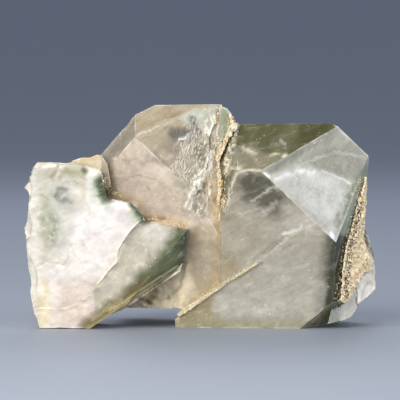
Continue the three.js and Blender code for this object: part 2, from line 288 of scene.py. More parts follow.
whiteMarks = [
    # a grey-green cast over the upper left, then the bright heart and the warm foot
    patch([(-45, 42), (-29, 42), (-27, 35), (-31, 24), (-36, 13), (-45, 11)], 5, "#C3BFAC", 0.8,
          ragged=1.5, haze=0.85),
    patch([(-38, 37), (-31, 36), (-29, 30), (-32, 20), (-38, 19)], 3, "#BDBDB4", 0.65),
    patch([(-31, 31), (-18, 31), (-15, 27), (-20, 20), (-26, 12), (-38, 4), (-41, 10), (-34, 20)], 5,
          "#E0DAD4", 0.9, ragged=1.2),
    patch([(-36, 11), (-24, 12), (-23, 3), (-31, -1), (-37, 0)], 4, "#CFBFB1", 0.85),
    streak([(-40.2, 10), (-39.5, 1)], 4, 3, "#D6C79E", 0.7, ragged=0.8),
    streak([(-27, 23.6), (-25, 21.5)], 4, 4, "#D8CACD", 0.4, ragged=1),
    streak([(-20, 28), (-19, 23)], 3, 3, "#D5C9CC", 0.35, ragged=1),
    streak([(-30, 33.5), (-29, 31.5)], 4, 2, "#D3C8B8", 0.6, ragged=0.8),
    streak([(-27.2, 38.6), (-26.9, 30.8)], 3.2, 1.6, "#E4E0DA", 0.9),
    streak([(-41, 40.6), (-32, 40.4), (-25, 38.9)], 1.4, 1.2, "#DED4BD", 0.7),
    streak([(-42.4, 38), (-42, 30), (-41.6, 20), (-41, 9)], 2.6, 2.4, "#E2DDD2", 0.7, ragged=0.8),
    streak([(-34, 29), (-33, 22), (-36, 17)], 3, 3, "#CFCDC2", 0.5, ragged=1.2),
    streak([(-24, 30.4), (-19, 30), (-16, 28)], 1, 0.8, "#F2ECE6", 0.7, ragged=0.5, haze=1),
    streak([(-37, 17.4), (-33.4, 18), (-32, 20.6)], 0.4, 0.5, "#B8B09C", 0.6, ragged=0.4),
    streak([(-41, 15), (-38, 16), (-34.4, 15.4), (-33, 17.6)], 0.4, 0.4, "#A89C80", 0.7, ragged=0.5),
    # grey-green inclusions, the pit and the olive patch at the top
    streak([(-39, 28), (-38.3, 25.5), (-38.8, 22.5)], 5, 2.5, "#9DA286", 0.65, ragged=1.2, patchy=0.4),
    streak([(-37.2, 27.6), (-36.2, 24.6), (-37.2, 21.6)], 1.4, 1, "#80866A", 0.6, ragged=0.8,
           patchy=0.3),
    streak([(-34.8, 32.6)], 3.4, 1.4, "#8E8E83", 0.8, ragged=0.7),
    streak([(-34.6, 32.4), (-33.8, 32.8)], 0.8, 0.8, "#D2D0C8", 0.7, ragged=0.4),
    streak([(-36.5, 32.6), (-35.6, 34.3), (-33.4, 34)], 0.7, 0.7, "#6B6B61", 0.7),
    streak([(-34, 31.6), (-32.6, 31)], 1.2, 0.8, "#7F7E70", 0.5),
    streak([(-32.4, 38.6), (-29.6, 38.7)], 3.4, 1.6, "#A19D7D", 0.85, ragged=0.6),
    streak([(-28.8, 38.8)], 1.8, 1, "#5E5935", 0.85, ragged=0.6),
    streak([(-37.2, 36.8), (-35.4, 39.8)], 0.8, 0.6, "#978C72", 0.75),
    streak([(-35.3, 36.8), (-33.4, 39.6)], 0.6, 0.6, "#978C72", 0.65),
    streak([(-39.4, 39.6), (-36, 40)], 0.6, 0.5, "#F4F0EA", 0.8, haze=1),
    streak([(-33.8, 36.2), (-30.8, 35.6), (-28.6, 36.4)], 0.4, 0.4, "#A89D84", 0.6, ragged=0.6),
    streak([(-40, 33), (-38.6, 31.6), (-39.2, 29.4)], 0.35, 0.4, "#A7A38C", 0.6, ragged=0.6),
    streak([(-29.6, 21.6), (-28.6, 19.4)], 0.5, 0.6, "#B9ADA4", 0.55, ragged=0.6),
    streak([(-33, 12.4), (-31, 8), (-31.6, 4)], 0.3, 0.5, "#C3B3A6", 0.5, ragged=1),
    # the lower plate, greyer and clearer than the upper one, and the painted highlight on the lip between them
    patch([(-14, 26.4), (-15.1, 26.1), (-18.1, 22.8), (-20.4, 19.1), (-20.6, 16.1), (-23.1, 13.6),
           (-25.6, 10.3), (-27, 8.5), (-26.5, 3), (-22.6, 2.6), (-10, 10.4), (-3, 16), (-2.6, 25)], 0.7,
          "#BBB4A3", 0.92, ragged=0.2, haze=0.76, rough=0.22),
    streak([(-13, 25), (-9, 22.4)], 5, 4, "#D6D1C6", 0.75, ragged=1),
    streak([(-21.4, 12), (-17, 15), (-12.6, 18)], 3.4, 3, "#C9C1AF", 0.6, ragged=1.2),
    streak([(-19, 17.5), (-18.4, 14.5)], 3, 3, "#B2AB96", 0.6, ragged=1),
    streak([(-16.4, 14.6), (-14.6, 15.4)], 0.7, 0.7, "#DAD6CA", 0.7, ragged=0.6, haze=0.9),
    streak([(-18, 11.8), (-16.4, 11)], 1.9, 1, "#E0DAC8", 0.7, ragged=0.7),
    streak([(-16, 21.2), (-14.2, 20.2), (-13.6, 17.8)], 0.4, 0.5, "#E2DED2", 0.6),
    streak([(-15, 20.4), (-13.4, 19.2), (-12.8, 16.8)], 0.4, 0.5, "#958E7C", 0.5),
    streak([(-4.4, 23.4), (-8.2, 18.2), (-12.6, 13.2), (-16.4, 9.2)], 4, 4, "#48531F", 0.95, ragged=0.6,
           haze=0.62),
    streak([(-28.4, -0.2), (-23.6, 3.4), (-17.6, 7.4), (-11, 11.4)], 4.2, 3, "#6B5D2F", 0.97,
           ragged=0.6, haze=0.7),
    streak([(-27, 1.6), (-20, 6.6)], 0.6, 0.6, "#C9BC86", 0.55),
    streak([(-14.8, 26.2), (-9, 25.7), (-3.4, 24.4)], 0.8, 0.6, "#C39E62", 0.75),
    # painted highlight along the lit edge of the lip between the plates
    streak([(-13.9, 26.3), (-15.1, 26.1), (-18.1, 22.8), (-20.4, 19.1), (-20.6, 16.1), (-23.1, 13.6),
            (-25.6, 10.3)], 0.8, 0.6, "#F2E8D0", 0.9, haze=1),
    # green growth at the corners of the plates and under the bevelled edge
    streak([(-25.6, 35), (-25.2, 32.8)], 3.4, 3, "#A0AF8B", 0.75),
    streak([(-24.7, 36), (-24.2, 33.4), (-23.4, 31.8)], 3, 2, "#35451F", 0.97, ragged=0.4, haze=0.7),
    streak([(-17, 28.4), (-15.6, 26.8)], 3, 2.4, "#9DAC86", 0.6),
    streak([(-16.6, 30.6), (-14.2, 27.4), (-13.8, 26.4)], 2.8, 1.8, "#3A4A25", 0.95, ragged=0.4,
           haze=0.7),
    streak([(-3.4, 24), (-4.2, 16.6), (-9, 12)], 4.2, 4, "#434C22", 0.9, on="whiteBevel", ragged=0.6,
           haze=0.55),
    streak([(-15.5, 10.4), (-8, 18)], 2.5, 4, "#8B9872", 0.6, on="whiteBevel"),
    streak([(-5.4, 17.6), (-4.7, 18.6)], 0.3, 0.4, "#C9CEB8", 0.7, on="whiteBevel", ragged=0.1),
    streak([(-4.2, 14.6), (-10, 11), (-16, 7.2), (-22.6, 3), (-28, -0.6)], 0.7, 0.6, "#8F7D47", 0.85,
           ragged=0.3, haze=0.9),
    streak([(-6, 14.8), (-11, 11.6), (-17, 7.6), (-23, 3.6)], 0.4, 0.4, "#CFC49A", 0.75, ragged=0.3,
           haze=0.9),
]

middleMarks = [
    # the left faces, greyer, and the olive-tan crown
    patch([(-24, 42), (-16, 47.5), (-16, 53), (-26, 46)], 3, "#9F937B", 0.5, ragged=1, patchy=0.7),
    streak([(-24, 44), (-17, 51.5)], 0.8, 0.8, "#DDD3C2", 0.5, patchy=0.4),
    patch([(-16, 51.5), (-9, 53), (-7, 49.5), (-13, 47.5)], 3, "#A8996A", 0.6, ragged=1, patchy=0.7),
    streak([(-7, 53.2), (-3, 51.6)], 2.6, 2, "#9C8B66", 0.55, patchy=0.5),
    streak([(-11, 50.4), (-8.6, 51.4)], 1.2, 1, "#DDD0BA", 0.6, patchy=0.4),
    streak([(-16.4, 47.3), (-5.1, 52.1), (1.2, 55.6)], 0.5, 0.5, "#DCD2BD", 0.55),
    streak([(-15.4, 47.6), (-13, 49), (-12.2, 48.6)], 0.5, 0.7, "#E6DECF", 0.6, patchy=0.4, haze=0.9),
    # the clear window at the upper right, with painted grey-blue shade for its dark depths and a painted white
    # highlight
    patch([(-5.2, 52.4), (4.2, 56), (4.2, 47.5), (0.6, 48), (-1.5, 51), (-4.2, 50.2)], 1.8, "#BFC1B1",
          0.85, ragged=0.6, haze=0.75),
    streak([(1, 49.4), (3.8, 48.6)], 2.2, 1.6, "#E6DACA", 0.8),
    # painted shade: the grey-blue depths seen through the window
    streak([(-6.6, 47.8), (-3.4, 47.6), (-1.6, 45.6)], 3.4, 1.6, "#70706A", 0.8, ragged=0.9, haze=0.45),
    streak([(-2, 51.2), (-0.8, 48.4)], 1.6, 1, "#73757F", 0.85, ragged=0.7, haze=0.45),
    # painted highlight: the small white flash
    streak([(-5.2, 46.7), (-3.9, 47), (-3.1, 48)], 0.4, 0.5, "#F4F4F2", 0.9, ragged=0.3, haze=1),
    streak([(-7, 44.4), (-4.6, 42.6)], 4, 3, "#8C8270", 0.6, ragged=0.9, haze=0.5),
    streak([(-2.2, 44.8), (-0.6, 42.5)], 3, 2.4, "#BBB099", 0.6, ragged=0.8),
    # the dark diagonal where the front and upper faces meet
    streak([(-11.9, 42.8), (-8.1, 39.6), (-3.9, 36.1)], 1.6, 1.4, "#918874", 0.7, on="middleUpper",
           haze=0.5),
    patch([(-11.5, 42.6), (-8, 39.6), (-9.6, 40.2), (-12.6, 41)], 1.2, "#8E8571", 0.5),
    # milky patches and small flecks in the front face
    streak([(-22, 39.6), (-19, 42)], 3.4, 2.4, "#D8C9B8", 0.6, ragged=1),
    streak([(-22.4, 41.4), (-21.4, 42.2)], 0.7, 0.6, "#FAF4EA", 0.8, haze=1),
    streak([(-17, 37), (-14, 34)], 6, 4, "#D6C8B7", 0.6, ragged=1.2),
    streak([(-9, 36), (-8, 33)], 4, 3, "#C2B29A", 0.5, patchy=0.6),
    streak([(-12, 31), (-8, 29)], 5, 4, "#D3C3B2", 0.6, ragged=1),
    streak([(-10.5, 38.6), (-7.5, 36.5)], 2.4, 2, "#DCD0C0", 0.5, patchy=0.35, haze=0.9),
    streak([(-21, 35), (-15.6, 38.4), (-11, 37)], 0.3, 0.4, "#A3957F", 0.5, ragged=1),
    streak([(-18.6, 41.4), (-14.8, 40.6), (-12.6, 42)], 1, 1.2, "#AFA18C", 0.5, ragged=1, patchy=0.6),
    streak([(-6.4, 34), (-4.4, 31.4), (-5, 28.4)], 0.35, 0.4, "#EDE4D4", 0.7, ragged=0.8, patchy=0.5,
           haze=0.9),
    streak([(-13.4, 34.8), (-12.8, 33.9)], 0.35, 0.4, "#8D8069", 0.7),
    streak([(-16.6, 30.2), (-16, 29.6)], 0.35, 0.4, "#F2EADC", 0.7, haze=1),
    # rust stains over the white crystal's shoulders
    streak([(-24.3, 36.8), (-23.4, 34.4), (-21.6, 33.4), (-19.6, 33.2)], 2, 1.4, "#BC9F6C", 0.75,
           ragged=0.6, patchy=0.5, haze=0.9),
    streak([(-23.6, 36), (-22.4, 33.4)], 1, 0.8, "#957345", 0.6, patchy=0.4),
    streak([(-22, 32.6), (-16, 31.4), (-14, 28.4)], 1.2, 1.2, "#CBAE7E", 0.6),
    streak([(-14.2, 27.4), (-9, 26.6), (-4, 25.4)], 1.6, 1.4, "#C2A678", 0.75, patchy=0.7, haze=0.9),
    streak([(-13.8, 27.2), (-13, 26.8)], 0.9, 0.7, "#8C5F24", 0.7),
    streak([(-10.6, 27), (-9.2, 26.8)], 0.8, 0.6, "#99692C", 0.6),
    # healed cracks beside the seam: ridged relief, with their silvery sheen painted as white highlights
    patch([(-7, 40), (-4, 47), (-2, 51), (3.8, 47), (4.6, 40), (4.4, 30), (1, 26), (-5, 28)], 3,
          "#B7AE9A", 0.7, ragged=1, patchy=1.4, haze=0.56, fleck=1),
    # painted highlights: the silvery glints along the cracks
    streak([(3, 43.6), (2.4, 40.4), (0.6, 36.8), (-1.4, 35)], 0.7, 0.7, "#E6EAE8", 0.8, ragged=0.7,
           haze=1),
    streak([(1.8, 42.6), (0.8, 39.4), (-1.2, 37.4)], 0.6, 0.5, "#E9E8DF", 0.7, ragged=0.4, haze=1),
    streak([(-3.8, 30), (-2.4, 33), (-1.4, 34.2)], 0.5, 0.4, "#F3F0E8", 0.8, haze=1),
    streak([(-3, 29), (-1.6, 31.8), (-0.2, 33)], 0.5, 0.4, "#EFEAE0", 0.75, haze=1),
    streak([(-2.2, 28.6), (0, 30.8), (1.4, 31.4)], 0.5, 0.4, "#7F7664", 0.6),
    streak([(-1.6, 31.4), (1.2, 29), (2.4, 27.8)], 0.45, 0.4, "#E6DDCC", 0.7),
    streak([(-1, 45), (0.4, 41)], 2.4, 1.6, "#8E8875", 0.5, patchy=0.4, haze=0.5),
    # the warm strip that runs down beside the seam
    streak([(2.8, 36), (3.4, 29), (2.6, 24)], 3.6, 2.4, "#D9C7AC", 0.6, ragged=0.8, haze=0.85),
    patch([(-2.4, 25), (5, 25), (5, 9), (0, 8), (-3.4, 12)], 2.5, "#AE9F7F", 0.75, ragged=0.7),
    streak([(4.6, 29), (4.3, 18), (4.2, 9)], 1.3, 1.2, "#C4AA7C", 0.8, ragged=0.2),
    streak([(0.4, 24.6), (1.6, 23.8)], 0.3, 0.5, "#E8DFCD", 0.6, haze=0.9),
    streak([(3.6, 33), (4.8, 28.8)], 1.2, 1, "#B98B44", 0.6, patchy=0.5),
    streak([(-5.4, 3.4), (0, 7.4), (4.4, 11), (9, 14)], 3.4, 3, "#B8A479", 0.65, on="all", ragged=0.8,
           haze=0.8),
    # the shaded foot between the white crystal and the big one, painted paler than the rock to lift its shade,
    # with a painted shadow of the white crystal
    # painted light: paler than the rock, so that the shade under the overhang is lifted
    patch([(-18, 12), (-4.4, 22), (-2, 12), (-5, 2), (-18, 2)], 2.5, "#EFE0BE", 0.95, ragged=0.7,
          haze=0.94),
    # painted shadow of the white crystal beside its right edge
    streak([(-4, 22), (-4.6, 15)], 2, 2, "#8B7F5B", 0.5),
    streak([(-12.6, 10.2), (-11, 7.4), (-13, 6)], 1.4, 1, "#A58749", 0.7, ragged=0.5),
    streak([(-9, 10.2), (-7, 8)], 3, 2, "#CFC3A8", 0.6, ragged=0.8),
    streak([(-3.4, 16), (-5, 10), (-8.4, 6.4)], 0.6, 0.6, "#8E7D54", 0.7, ragged=0.4),
    streak([(-9.6, 11), (-7.2, 7), (-7.6, 5.2)], 0.5, 0.5, "#EDE0C0", 0.8, ragged=0.5),
    streak([(-15, 6.8), (-12.4, 5.4)], 1.2, 0.8, "#5F4F33", 0.6),
    streak([(-19.5, 5.6), (-15.2, 8.6)], 1.6, 0.8, "#5B5432", 0.8),
    # the cream saddle behind the white crystal's top edge
    patch([(-36, 37), (-36, 43), (-26.4, 43.6), (-23.8, 40.6), (-25, 36)], 1.2, "#BFB294", 0.9,
          ragged=0.4, haze=0.95, rough=0.5),
    streak([(-23.4, 42), (-23, 37), (-22.4, 34.6)], 3.4, 1.2, "#B5A78E", 0.95, haze=0.6, rough=0.2),
    streak([(-30, 41.6), (-26, 42.4)], 1, 0.8, "#B3955A", 0.6, patchy=0.4),
]

bigMarks = [
    # the wall beside the seam and the arc that bounds the front face
    patch([(4.6, 31), (6, 44), (9.6, 50.5), (11, 47), (8.2, 38), (6.6, 30)], 1.4, "#8F8871", 0.7,
          ragged=0.7, patchy=0.9),
    streak([(6.2, 37), (6.4, 33)], 1.6, 1.6, "#6E6A52", 0.5, ragged=0.6),
    # painted light: the shaded slit beside the seam crust is painted pale
    patch([(5.2, 50), (9.2, 50.6), (8.6, 46), (7.2, 42), (6.8, 38), (5, 37)], 1.2, "#DDD5BC", 0.9,
          on="all", ragged=0.5, haze=1, rough=0.5, fleck=0.8),
    streak([(5.2, 42), (6.4, 40), (8, 39.4), (10.2, 39.4)], 0.5, 0.5, "#D8CFB6", 0.8, haze=0.95),
    streak([(9, 38.4), (8.2, 36), (7, 33)], 0.4, 0.4, "#C9C2AC", 0.7, haze=0.95),
    streak([(5.6, 43.6), (7.4, 41.6), (8.8, 39.8)], 1.2, 1, "#B7AF99", 0.6, patchy=0.4),
    # the top face: dark olive, its own olive tint darkened with painted shade, paler and flecked to the left
    patch([(6, 45.5), (14, 44.6), (24, 41.6), (16, 38), (6, 38)], 4, "#989077", 0.8, on="bigTop",
          ragged=1.4, haze=0.68),
    patch([(9.4, 51), (16, 51), (12, 45), (8, 46)], 3, "#7C7952", 0.6, on="bigTop", patchy=0.8),
    streak([(23.5, 50.5), (20, 45.5), (17.6, 40)], 3.4, 2.4, "#8E8B69", 0.55, on="bigTop"),
    patch([(24, 51), (34, 51), (29, 46.6), (24.6, 45)], 2, "#5C5C35", 0.75, on="bigTop"),
    streak([(11, 44.6), (13.6, 43.6)], 1.2, 1, "#CFC8B4", 0.65, on="bigTop", ragged=0.7, patchy=0.4,
           haze=1),
    streak([(17.6, 42.9), (22, 42.5)], 0.5, 0.5, "#E0DBCC", 0.75, on="bigTop", ragged=0.5, patchy=0.5,
           haze=0.95),
    streak([(20.2, 46), (21, 45.4)], 0.6, 0.5, "#EDEAE0", 0.8, on="bigTop"),
    streak([(6.8, 30.6), (7.6, 34.6), (8.7, 37.6), (10.6, 38.7), (14.4, 38.9)], 0.8, 0.6, "#C9C2AC",
           0.8, haze=0.95),
    # dark olive depth under the arc, with silvery scratches
    patch([(8.4, 36.4), (10.6, 38.4), (15, 38.6), (22.4, 32.4), (19.4, 28.6), (10.4, 31)], 3, "#615F48",
          0.9, on="bigFront", ragged=1, haze=0.5),
    patch([(11, 32), (19, 32), (21, 27.5), (14, 26.5)], 3, "#83806C", 0.6, on="bigFront", ragged=1,
          patchy=0.8),
    streak([(12.2, 31.2), (16, 33.4), (19.6, 35.2)], 0.5, 0.45, "#CFCBBE", 0.8, on="bigFront",
           ragged=0.5, patchy=0.5, haze=0.95),
    streak([(12.8, 30), (14.6, 31.4)], 0.5, 0.5, "#C9C4B5", 0.7, on="bigFront"),
    streak([(16, 28.6), (19, 31)], 1.4, 1, "#B8B5A6", 0.6, on="bigFront", patchy=0.4, haze=0.9),
    streak([(20.4, 33.6), (22.6, 31)], 1.6, 1.4, "#8B887A", 0.6, on="bigFront", patchy=0.5),
    patch([(5.4, 33), (8, 37), (10.4, 34), (9, 27), (5, 26)], 2.5, "#AA9F86", 0.7, on="bigFront",
          ragged=0.8),
    patch([(5, 25), (17, 27), (14, 18), (5, 15)], 5, "#B9AE98", 0.6, on="bigFront"),
    streak([(5.4, 17), (9, 13), (2, 9)], 4, 3, "#AA9568", 0.5, on="bigFront", ragged=0.8, patchy=0.8),
    # the old crack that climbs to the right, with painted glints on its flakes
    streak([(13, 16.6), (17.4, 20.3), (22.4, 23.1), (28.6, 26.1)], 0.5, 0.6, "#8E8775", 0.6,
           on="bigFront", ragged=0.5),
    # painted glints on the crack's flakes
    streak([(20.8, 22.8), (24.6, 24.4), (25.4, 25.2)], 0.9, 0.7, "#E2E0D7", 0.85, on="bigFront",
           ragged=0.5, haze=1),
    streak([(22, 25.6), (29, 27.4), (27, 24.6)], 2.4, 2, "#C7C4B8", 0.55, on="bigFront", ragged=0.8,
           haze=0.85),
    streak([(15.6, 17.2), (20.8, 21.2), (25, 24), (31, 26.4)], 0.3, 0.35, "#D9D5C8", 0.6, on="bigFront",
           ragged=0.3, haze=0.9),
    streak([(19.6, 18.6), (22.6, 20.6)], 0.25, 0.3, "#6F6A5A", 0.7, on="bigFront", ragged=0.4),
    streak([(17, 19.2), (20, 21)], 0.3, 0.3, "#6F6A5A", 0.6, on="bigFront", ragged=0.5),
    patch([(22, 17), (31, 21), (31.4, 12), (27, 6), (20, 8)], 6, "#B3AFA1", 0.5, on="bigFront"),
    streak([(9.9, 13), (15.4, 16.6)], 0.6, 0.6, "#D7C6A2", 0.6, on="bigFront"),
    # the light face: paler as painted sheen, with soft bands that climb to the right, painted highlights, and a
    # greener right side
    patch([(15, 39), (34, 50), (44, 42), (40, 36), (30, 39), (24, 41), (17, 38)], 2.5, "#ABA998", 0.85,
          on="bigLight", haze=0.5),
    streak([(17.4, 39.2), (26, 44.6), (33, 49)], 1.6, 1.6, "#99978A", 0.6, on="bigLight"),
    streak([(22, 40), (30, 45), (36, 46)], 1.2, 1.2, "#C4C3B6", 0.6, on="bigLight"),
    streak([(20.5, 37.8), (27, 41.4), (33.6, 43.4), (41.6, 42)], 0.5, 0.5, "#D0D0C6", 0.5,
           on="bigLight", haze=0.7),
    # painted sheen: the brightest bands of the light face
    patch([(17, 37), (27, 40), (33.6, 37.6), (37.4, 33), (33, 25.6)], 2.6, "#E2E0DA", 0.75,
          on="bigLight", haze=0.62),
    streak([(19, 36.4), (24, 38.6), (28, 38.4)], 1.4, 1.2, "#F2F1EE", 0.6, on="bigLight", patchy=0.5,
           haze=0.8),
    streak([(22, 35.4), (33, 32.4)], 3, 2.4, "#C9C6C1", 0.6, on="bigLight", patchy=0.6),
    streak([(24, 32.6), (24.4, 36.6), (23.6, 38)], 0.6, 0.8, "#B5B3AA", 0.6, on="bigLight"),
    streak([(30.6, 38.8), (35.6, 36.8), (40, 34)], 0.5, 0.4, "#E2E3DC", 0.7, on="bigLight", ragged=0.1,
           haze=0.8),
    patch([(41.6, 41), (40, 34.2), (36.4, 27), (34, 23.6), (33.4, 26), (35.4, 31), (38, 37)], 1.6,
          "#7E8A6C", 0.85, on="bigLight", ragged=0.8, patchy=1.2, haze=0.5),
    streak([(38, 36), (36.2, 31.4), (34.6, 27)], 0.5, 0.5, "#D3D8C8", 0.6, on="bigLight", patchy=0.4),
    # painted highlights on the light face
    streak([(27.6, 29.2), (33.2, 24.2)], 0.9, 0.9, "#F0F1F2", 0.5, on="bigLight", patchy=0.6),
    streak([(15.8, 38), (16.8, 37.2)], 1, 0.8, "#ECECE8", 0.8, on="bigLight", haze=1),
    streak([(33.6, 50), (42.2, 42.4)], 0.7, 0.6, "#E3E3DA", 0.6),
    # the green side: grey-green above, painted paler there to lift its shade, nearly black-green below, where
    # the green is its own and the darkness painted shade, fading into the front face
    # painted light: the upper green side lifted out of its shade
    patch([(34, 44), (44, 44), (44, 21), (34, 23)], 2, "#A6B19D", 0.95, on="bigRight", haze=0.72),
    streak([(39, 36), (36.4, 27)], 1, 1, "#B6BEB2", 0.6, on="bigRight", patchy=0.5),
    # painted shade over the crystal's own green: the near-black band and the corner below it
    streak([(34, 22), (33.4, 12), (30.6, 0)], 5.2, 4.4, "#1F2C13", 0.92, on="bigFront", ragged=0.4,
           haze=0.55),
    patch([(29.6, -1), (33.2, 6), (36, 8), (35, -1)], 1.6, "#3F4C33", 0.8, on="big", ragged=0.3),
    # painted highlight: the small bluish flash at the corner
    streak([(32.5, 23.4), (33, 22.4)], 0.7, 0.6, "#DDE2F4", 0.9, on="big", ragged=0.2, haze=1),
    # the lower crystal, milkier, with a yellowish foot
    patch([(-6, 5), (0, 8), (5, 11.6), (14, 17.4), (20, 19), (32, 10), (30, -1), (-7, -1)], 1.5,
          "#B9B6A7", 0.65, on="big", haze=0.72),
    patch([(-7, -1), (-5.5, 5.5), (-1, 8), (5, 11), (3, 4), (6, -1)], 2.5, "#A6986C", 0.8, on="big",
          ragged=0.8),
    streak([(-4, 0.2), (14, 0), (28, 0.2)], 3.2, 2.4, "#A59F80", 0.7, on="big"),
    streak([(6, 5.4), (16, 5), (26, 6)], 4, 4, "#C6C3B6", 0.5, on="big", patchy=0.8, haze=0.8),
    streak([(6, 3), (10, 2.4)], 2, 1.6, "#D0CBB9", 0.55, on="big", patchy=0.5),
    # the corner under the green side, painted darker green as shade
    patch([(33, 0), (36, 5), (35, 7), (30, 3), (30, 0)], 1, "#4E5A40", 0.6, on="big"),
]

rearMarks = [
    patch([(41, 30), (46, 24), (46, 17.6), (43.4, 17), (41, 20)], 1, "#5C5830", 1, on="all", ragged=0.5,
          haze=0.9),
    patch([(41, 17.6), (46, 18), (46, 10), (41, 9)], 1.6, "#D9CDBF", 0.8, on="all", ragged=0.5,
          haze=0.9),
    streak([(42.6, 22.6), (43.4, 19.6)], 1.2, 0.8, "#D7D3C1", 0.7, on="rear", patchy=0.4, haze=1),
    patch([(39, 12), (44.6, 16), (44.6, 9), (40, 6)], 2, "#E4DDD3", 0.7, on="rear"),
    patch([(31, 0.6), (38, 4), (38, 8), (34, 6)], 1.4, "#E2D4C0", 0.6, on="rear"),
]

sliverMarks = [
    patch([(4.4, 54.4), (5.4, 55), (6.8, 54.4), (7.8, 53), (8, 51.6), (7.2, 49.2), (6, 46.4), (5, 46.2),
           (4.5, 48), (4.3, 51.5)], 0.5, "#ABAE94", 0.9, on="all", ragged=0.1, haze=0.6),
    streak([(6, 53.6), (7, 52)], 1.6, 1, "#8A8D6E", 0.6, on="all", patchy=0.5),
    streak([(4.6, 54.2), (5.6, 54.8), (6.8, 54.2), (7.9, 52.4)], 0.6, 0.5, "#D9DACB", 0.7, on="all"),
]

# The back wasn't photographed: calm cloudy faces, stained where the crystals meet
backMarks = [
    patch([(6, 4), (22, 8), (36, 4), (34, 16), (20, 20), (8, 14)], 7, "#BDBAA8", 0.6, on="bigBack",
          ragged=2, haze=0.72),
    patch([(10, 30), (22, 26), (34, 34), (28, 46), (14, 44)], 6, "#7F7D60", 0.7, on="bigBack", ragged=2,
          haze=0.5),
    streak([(10, 12), (18, 22), (30, 29)], 1, 1, "#D6D2C4", 0.5, on="bigBack", ragged=0.8, patchy=0.5,
           haze=0.9),
    streak([(5.6, 48), (5.4, 30), (5.6, 6)], 2.6, 2, "#A48A5C", 0.6, on="bigBack", ragged=1, patchy=0.7,
           haze=0.85),
    patch([(-16, 36), (-4, 38), (0, 48), (-8, 52), (-18, 46)], 6, "#96896C", 0.6, on="middleBack",
          ragged=2, haze=0.52),
    patch([(-20, 12), (-2, 14), (-2, 28), (-14, 32), (-20, 26)], 6, "#CDC2AE", 0.6, on="middleBack",
          ragged=2, haze=0.74),
    streak([(4, 48), (3.4, 30), (3.8, 10)], 2.4, 2, "#A88C5C", 0.6, on="middleBack", ragged=1,
           patchy=0.7, haze=0.85),
    streak([(-22, 38), (-20, 26), (-21, 12)], 2.6, 2, "#9E8455", 0.6, on="middleBack", ragged=1.2,
           patchy=0.8, haze=0.85),
    patch([(-44, 30), (-26, 34), (-24, 20), (-44, 16)], 6, "#DAD4CC", 0.7, on="whiteBack", ragged=2),
    patch([(-42, 12), (-26, 12), (-26, -1), (-42, -1)], 4, "#BBAE92", 0.7, on="whiteBack", ragged=1.6),
    streak([(-41, 38), (-40, 26)], 4, 3, "#A5AA8D", 0.5, on="whiteBack", ragged=1.6, patchy=0.6),
]

marks = [{"on": crystal, **mark} for crystal, several in (
    ("white", whiteMarks), ("middle", middleMarks), ("big", bigMarks), ("rear", rearMarks),
    ("all", sliverMarks), ("all", backMarks)) for mark in several]

# Broken ground: how deep it goes, the size of its features, and how much longer they are along the seam
seamRun = (0.27, -0.07, 0.96)
reliefs = [
    {"on": "white", "area": [(-45, 42), (-22, 42), (-13, 30), (-14, 24), (-22, 8), (-30, -2), (-45, -2)],
     "soft": 3, "depth": 0.55, "scale": 5, "longer": 1},
    {"on": "middle", "area": [(-4, 34), (-1, 45), (1, 53), (4.8, 55), (5.4, 40), (5.4, 26), (-3, 26)],
     "soft": 1.5, "depth": 0.5, "scale": 1.25, "longer": 3.2, "ridged": True},
    {"on": "big", "area": [(4.6, 31), (6, 44), (9.6, 50.5), (11, 47), (8.2, 38), (6.6, 30)],
     "soft": 1.5, "depth": 0.5, "scale": 1.6, "longer": 2.5, "ridged": True},
    {"on": "middle", "area": [(-18, 12), (-8, 14), (-5, 2), (-18, 2)],
     "soft": 2, "depth": 0.5, "scale": 2.4, "longer": 1.5, "ridged": True},
    {"on": "rear", "area": [(30, 32), (46, 32), (46, -2), (30, -2)],
     "soft": 2, "depth": 0.5, "scale": 3, "longer": 1},
]

# Steps that are worn away: lines along which the surface is evened out
wornSteps = [
    {"path": [(-46, 4.4), (-33, 4.4), (-28.6, 6.4), (-26.4, 9)], "wide": 3, "soft": 1, "times": 14},
]


def sliced(mesh, faces, axis, low, step, count):
    # Cuts faces into count strips along axis, halving each time
    if count < 2 or not faces:
        return
    middle = low + step * (count // 2)
    geometry = list({e for f in faces for e in f.edges} | {v for f in faces for v in f.verts}) + list(faces)
    cut = bmesh.ops.bisect_plane(mesh, geom=geometry, plane_co=axis * middle, plane_no=axis, dist=weldReach)
    now = {f for f in cut["geom"] if isinstance(f, bmesh.types.BMFace)}
    below = [f for f in now if f.calc_center_median().dot(axis) < middle]
    above = [f for f in now if f.calc_center_median().dot(axis) >= middle]
    sliced(mesh, below, axis, low, step, count // 2)
    sliced(mesh, above, axis, middle, step, count - count // 2)


def inside(x, h, outline):
    # Which points lie inside a closed outline
    found = np.zeros(len(x), bool)
    for (ax, ah), (bx, bh) in zip(outline, outline[1:] + outline[:1]):
        if ah == bh:
            continue
        crosses = (ah > h) != (bh > h)
        found ^= crosses & (x < (bx - ax) * (h - ah) / (bh - ah) + ax)
    return found


def distanceTo(x, h, path, closed=False):
    # Distance in mm from each point to a line of straight stretches
    ends = path[1:] + (path[:1] if closed else [])
    if not ends:
        return np.hypot(x - path[0][0], h - path[0][1])
    nearest = np.full(len(x), np.inf)
    for (ax, ah), (bx, bh) in zip(path, ends):
        run = (bx - ax) ** 2 + (bh - ah) ** 2
        t = np.clip(((x - ax) * (bx - ax) + (h - ah) * (bh - ah)) / run, 0, 1)
        nearest = np.minimum(nearest, np.hypot(x - ax - t * (bx - ax), h - ah - t * (bh - ah)))
    return nearest


def eased(t):
    t = np.clip(t, 0, 1)
    return t * t * (3 - 2 * t)


